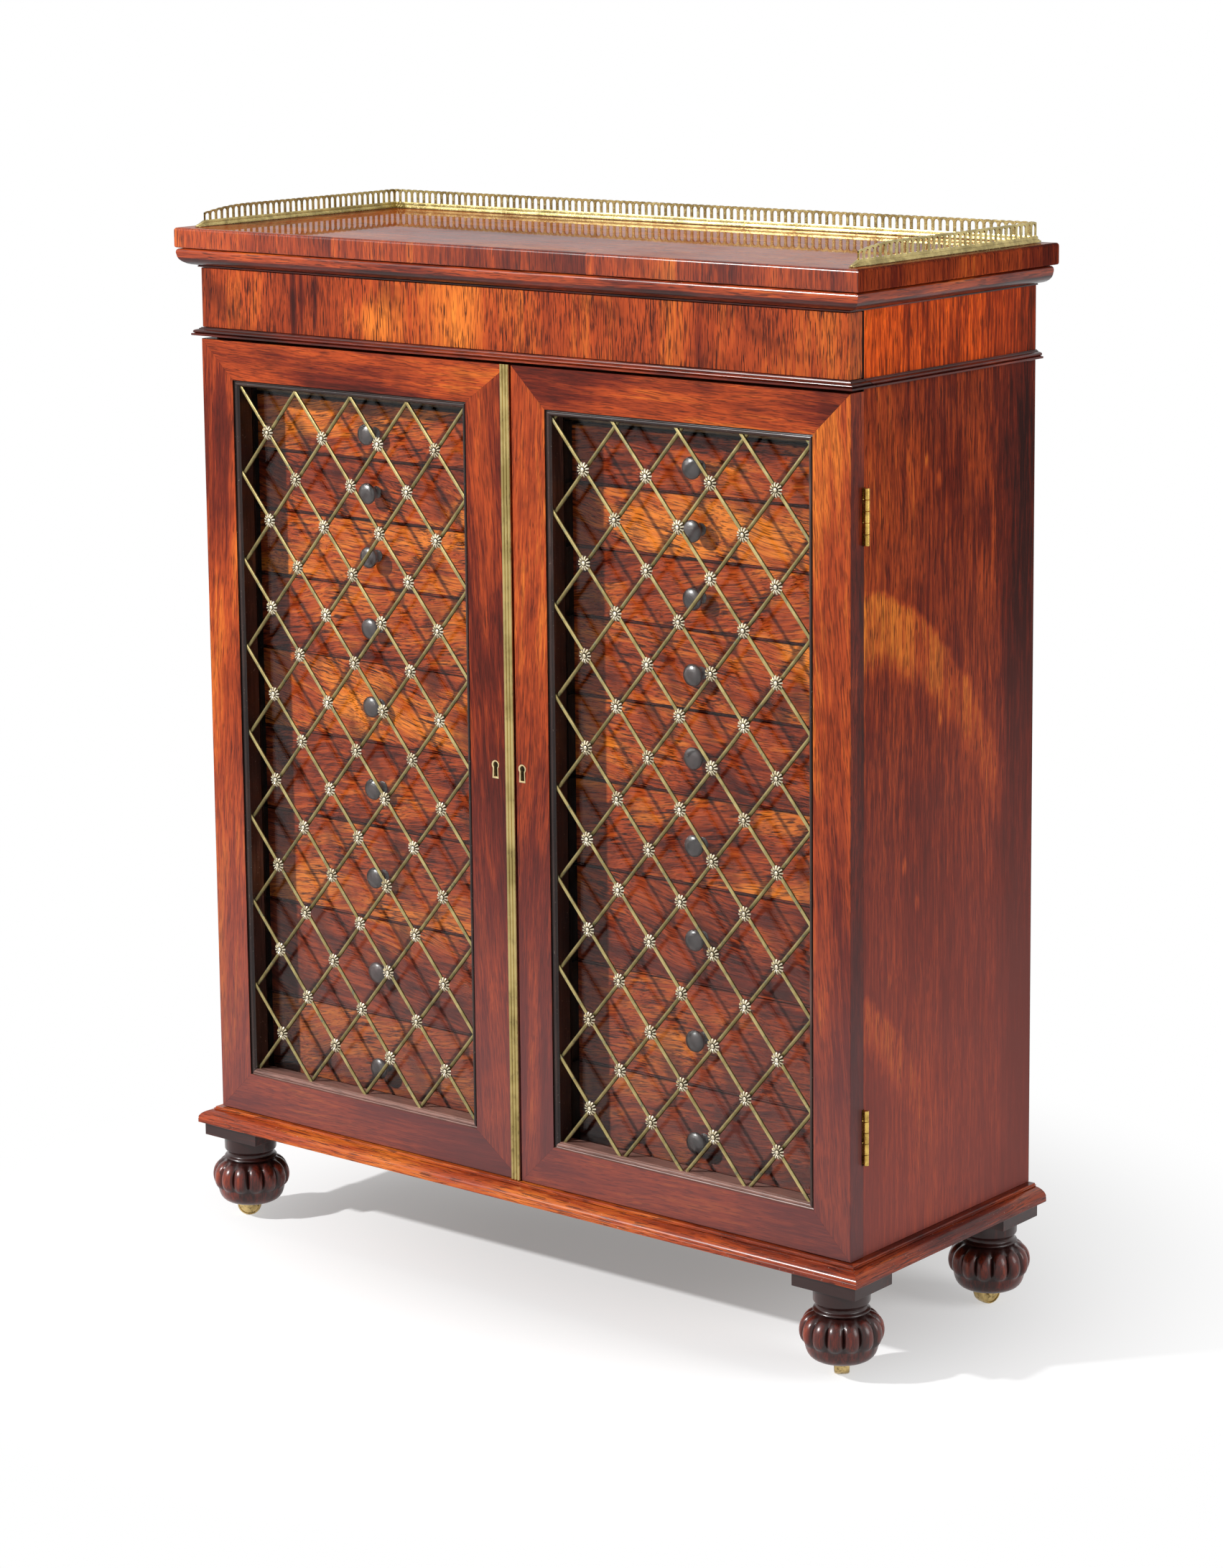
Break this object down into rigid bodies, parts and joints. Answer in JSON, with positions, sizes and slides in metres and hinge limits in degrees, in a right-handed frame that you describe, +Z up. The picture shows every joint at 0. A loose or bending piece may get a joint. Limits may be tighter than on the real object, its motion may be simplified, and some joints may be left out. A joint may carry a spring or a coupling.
{
  "type": "collectors cabinet",
  "caption": "Small wooden cabinet with glazed brass-lattice doors over banks of shallow drawers, a frieze drawer, a pierced gallery and gadrooned bun feet on casters.",
  "frame": {"origin": "on the floor under the middle of the whole cabinet", "axes": "+Z up, the doors face -Y, +X to the right as seen from the front"},
  "size_m": [0.7, 0.2736, 0.8752],
  "materials": {
    "wood_veneer": "polished",
    "wood_moulding": "polished",
    "wood_drawer": "satin",
    "wood_inside": "matt",
    "brass": "aged",
    "glass": "clear"
  },
  "bodies": {
    "carcase": {"top_board": "wood_veneer", "brass_gallery": "brass", "cornice_moulding": "wood_moulding", "base_moulding": "wood_moulding", "bottom_board": "wood_inside", "back_panel": "wood_inside", "centre_partition": "wood_inside", "dust_board": "wood_inside", "side_panel_left": "wood_veneer", "side_panel_right": "wood_veneer", "waist_moulding_left": "wood_moulding", "waist_moulding_right": "wood_moulding", "foot_front_left": "wood_moulding", "foot_front_right": "wood_moulding", "foot_back_left": "wood_moulding", "foot_back_right": "wood_moulding", "case_leaf_lower_left": "brass", "case_leaf_lower_right": "brass", "case_leaf_upper_left": "brass", "case_leaf_upper_right": "brass"},
    "door_left": {"door_frame_left": "wood_veneer", "glass_pane_left": "glass", "glazing_bead_left": "wood_inside", "lattice_left": "brass", "door_leaf_lower_left": "brass", "door_leaf_upper_left": "brass", "meeting_strip": "brass"},
    "door_right": {"door_frame_right": "wood_veneer", "glass_pane_right": "glass", "glazing_bead_right": "wood_inside", "lattice_right": "brass", "door_leaf_lower_right": "brass", "door_leaf_upper_right": "brass"},
    "frieze_drawer": {"frieze_drawer": "wood_veneer"},
    "drawer_left_1": {"drawer_left_1": "wood_drawer"},
    "drawer_left_2": {"drawer_left_2": "wood_drawer"},
    "drawer_left_3": {"drawer_left_3": "wood_drawer"},
    "drawer_left_4": {"drawer_left_4": "wood_drawer"},
    "drawer_left_5": {"drawer_left_5": "wood_drawer"},
    "drawer_left_6": {"drawer_left_6": "wood_drawer"},
    "drawer_left_7": {"drawer_left_7": "wood_drawer"},
    "drawer_left_8": {"drawer_left_8": "wood_drawer"},
    "drawer_left_9": {"drawer_left_9": "wood_drawer"},
    "drawer_right_1": {"drawer_right_1": "wood_drawer"},
    "drawer_right_2": {"drawer_right_2": "wood_drawer"},
    "drawer_right_3": {"drawer_right_3": "wood_drawer"},
    "drawer_right_4": {"drawer_right_4": "wood_drawer"},
    "drawer_right_5": {"drawer_right_5": "wood_drawer"},
    "drawer_right_6": {"drawer_right_6": "wood_drawer"},
    "drawer_right_7": {"drawer_right_7": "wood_drawer"},
    "drawer_right_8": {"drawer_right_8": "wood_drawer"},
    "drawer_right_9": {"drawer_right_9": "wood_drawer"},
    "caster_front_left": {"fork_front_left": "brass"},
    "wheel_front_left": {"wheel_front_left": "brass"},
    "caster_front_right": {"fork_front_right": "brass"},
    "wheel_front_right": {"wheel_front_right": "brass"},
    "caster_back_left": {"fork_back_left": "brass"},
    "wheel_back_left": {"wheel_back_left": "brass"},
    "caster_back_right": {"fork_back_right": "brass"},
    "wheel_back_right": {"wheel_back_right": "brass"}
  },
  "joints": [
    {"name": "door_left_hinge", "type": "hinge", "parent": "carcase", "child": "door_left", "pos_m": [-0.3365, -0.101, 0.4315], "axis": [0, 0, -1], "range_deg": [0, 180]},
    {"name": "door_right_hinge", "type": "hinge", "parent": "carcase", "child": "door_right", "pos_m": [0.3365, -0.101, 0.4315], "axis": [0, 0, 1], "range_deg": [0, 180]},
    {"name": "frieze_drawer_slide", "type": "slide", "parent": "carcase", "child": "frieze_drawer", "axis": [0, -1, 0], "range_m": [0, 0.165]},
    {"name": "drawer_left_1_slide", "type": "slide", "parent": "carcase", "child": "drawer_left_1", "axis": [0, -1, 0], "range_m": [0, 0.145]},
    {"name": "drawer_left_2_slide", "type": "slide", "parent": "carcase", "child": "drawer_left_2", "axis": [0, -1, 0], "range_m": [0, 0.145]},
    {"name": "drawer_left_3_slide", "type": "slide", "parent": "carcase", "child": "drawer_left_3", "axis": [0, -1, 0], "range_m": [0, 0.145]},
    {"name": "drawer_left_4_slide", "type": "slide", "parent": "carcase", "child": "drawer_left_4", "axis": [0, -1, 0], "range_m": [0, 0.145]},
    {"name": "drawer_left_5_slide", "type": "slide", "parent": "carcase", "child": "drawer_left_5", "axis": [0, -1, 0], "range_m": [0, 0.145]},
    {"name": "drawer_left_6_slide", "type": "slide", "parent": "carcase", "child": "drawer_left_6", "axis": [0, -1, 0], "range_m": [0, 0.145]},
    {"name": "drawer_left_7_slide", "type": "slide", "parent": "carcase", "child": "drawer_left_7", "axis": [0, -1, 0], "range_m": [0, 0.145]},
    {"name": "drawer_left_8_slide", "type": "slide", "parent": "carcase", "child": "drawer_left_8", "axis": [0, -1, 0], "range_m": [0, 0.145]},
    {"name": "drawer_left_9_slide", "type": "slide", "parent": "carcase", "child": "drawer_left_9", "axis": [0, -1, 0], "range_m": [0, 0.145]},
    {"name": "drawer_right_1_slide", "type": "slide", "parent": "carcase", "child": "drawer_right_1", "axis": [0, -1, 0], "range_m": [0, 0.145]},
    {"name": "drawer_right_2_slide", "type": "slide", "parent": "carcase", "child": "drawer_right_2", "axis": [0, -1, 0], "range_m": [0, 0.145]},
    {"name": "drawer_right_3_slide", "type": "slide", "parent": "carcase", "child": "drawer_right_3", "axis": [0, -1, 0], "range_m": [0, 0.145]},
    {"name": "drawer_right_4_slide", "type": "slide", "parent": "carcase", "child": "drawer_right_4", "axis": [0, -1, 0], "range_m": [0, 0.145]},
    {"name": "drawer_right_5_slide", "type": "slide", "parent": "carcase", "child": "drawer_right_5", "axis": [0, -1, 0], "range_m": [0, 0.145]},
    {"name": "drawer_right_6_slide", "type": "slide", "parent": "carcase", "child": "drawer_right_6", "axis": [0, -1, 0], "range_m": [0, 0.145]},
    {"name": "drawer_right_7_slide", "type": "slide", "parent": "carcase", "child": "drawer_right_7", "axis": [0, -1, 0], "range_m": [0, 0.145]},
    {"name": "drawer_right_8_slide", "type": "slide", "parent": "carcase", "child": "drawer_right_8", "axis": [0, -1, 0], "range_m": [0, 0.145]},
    {"name": "drawer_right_9_slide", "type": "slide", "parent": "carcase", "child": "drawer_right_9", "axis": [0, -1, 0], "range_m": [0, 0.145]},
    {"name": "front_left_swivel", "type": "hinge", "parent": "carcase", "child": "caster_front_left", "pos_m": [-0.3157, -0.10385, 0.025], "axis": [0, 0, 1], "continuous": true},
    {"name": "front_left_wheel_spin", "type": "hinge", "parent": "caster_front_left", "child": "wheel_front_left", "pos_m": [-0.31728, -0.10508, 0.01049], "axis": [-0.6157, 0.788, 0], "continuous": true},
    {"name": "front_right_swivel", "type": "hinge", "parent": "carcase", "child": "caster_front_right", "pos_m": [0.3157, -0.10385, 0.025], "axis": [0, 0, 1], "continuous": true},
    {"name": "front_right_wheel_spin", "type": "hinge", "parent": "caster_front_right", "child": "wheel_front_right", "pos_m": [0.31447, -0.10227, 0.01049], "axis": [0.788, 0.6157, 0], "continuous": true},
    {"name": "back_left_swivel", "type": "hinge", "parent": "carcase", "child": "caster_back_left", "pos_m": [-0.3157, 0.09985, 0.025], "axis": [0, 0, 1], "continuous": true},
    {"name": "back_left_wheel_spin", "type": "hinge", "parent": "caster_back_left", "child": "wheel_back_left", "pos_m": [-0.31763, 0.10037, 0.01049], "axis": [0.2588, 0.9659, 0], "continuous": true},
    {"name": "back_right_swivel", "type": "hinge", "parent": "carcase", "child": "caster_back_right", "pos_m": [0.3157, 0.09985, 0.025], "axis": [0, 0, 1], "continuous": true},
    {"name": "back_right_wheel_spin", "type": "hinge", "parent": "caster_back_right", "child": "wheel_back_right", "pos_m": [0.31518, 0.09792, 0.01049], "axis": [-0.9659, 0.2588, 0], "continuous": true}
  ],
  "couplings": [
    {"joint": "drawer_left_1_slide", "follows": "door_left_hinge", "m_per_rad": 0.046},
    {"joint": "drawer_left_2_slide", "follows": "door_left_hinge", "m_per_rad": 0.046},
    {"joint": "drawer_left_3_slide", "follows": "door_left_hinge", "m_per_rad": 0.046},
    {"joint": "drawer_left_4_slide", "follows": "door_left_hinge", "m_per_rad": 0.046},
    {"joint": "drawer_left_5_slide", "follows": "door_left_hinge", "m_per_rad": 0.046},
    {"joint": "drawer_left_6_slide", "follows": "door_left_hinge", "m_per_rad": 0.046},
    {"joint": "drawer_left_7_slide", "follows": "door_left_hinge", "m_per_rad": 0.046},
    {"joint": "drawer_left_8_slide", "follows": "door_left_hinge", "m_per_rad": 0.046},
    {"joint": "drawer_left_9_slide", "follows": "door_left_hinge", "m_per_rad": 0.046},
    {"joint": "drawer_right_1_slide", "follows": "door_right_hinge", "m_per_rad": 0.046},
    {"joint": "drawer_right_2_slide", "follows": "door_right_hinge", "m_per_rad": 0.046},
    {"joint": "drawer_right_3_slide", "follows": "door_right_hinge", "m_per_rad": 0.046},
    {"joint": "drawer_right_4_slide", "follows": "door_right_hinge", "m_per_rad": 0.046},
    {"joint": "drawer_right_5_slide", "follows": "door_right_hinge", "m_per_rad": 0.046},
    {"joint": "drawer_right_6_slide", "follows": "door_right_hinge", "m_per_rad": 0.046},
    {"joint": "drawer_right_7_slide", "follows": "door_right_hinge", "m_per_rad": 0.046},
    {"joint": "drawer_right_8_slide", "follows": "door_right_hinge", "m_per_rad": 0.046},
    {"joint": "drawer_right_9_slide", "follows": "door_right_hinge", "m_per_rad": 0.046}
  ]
}
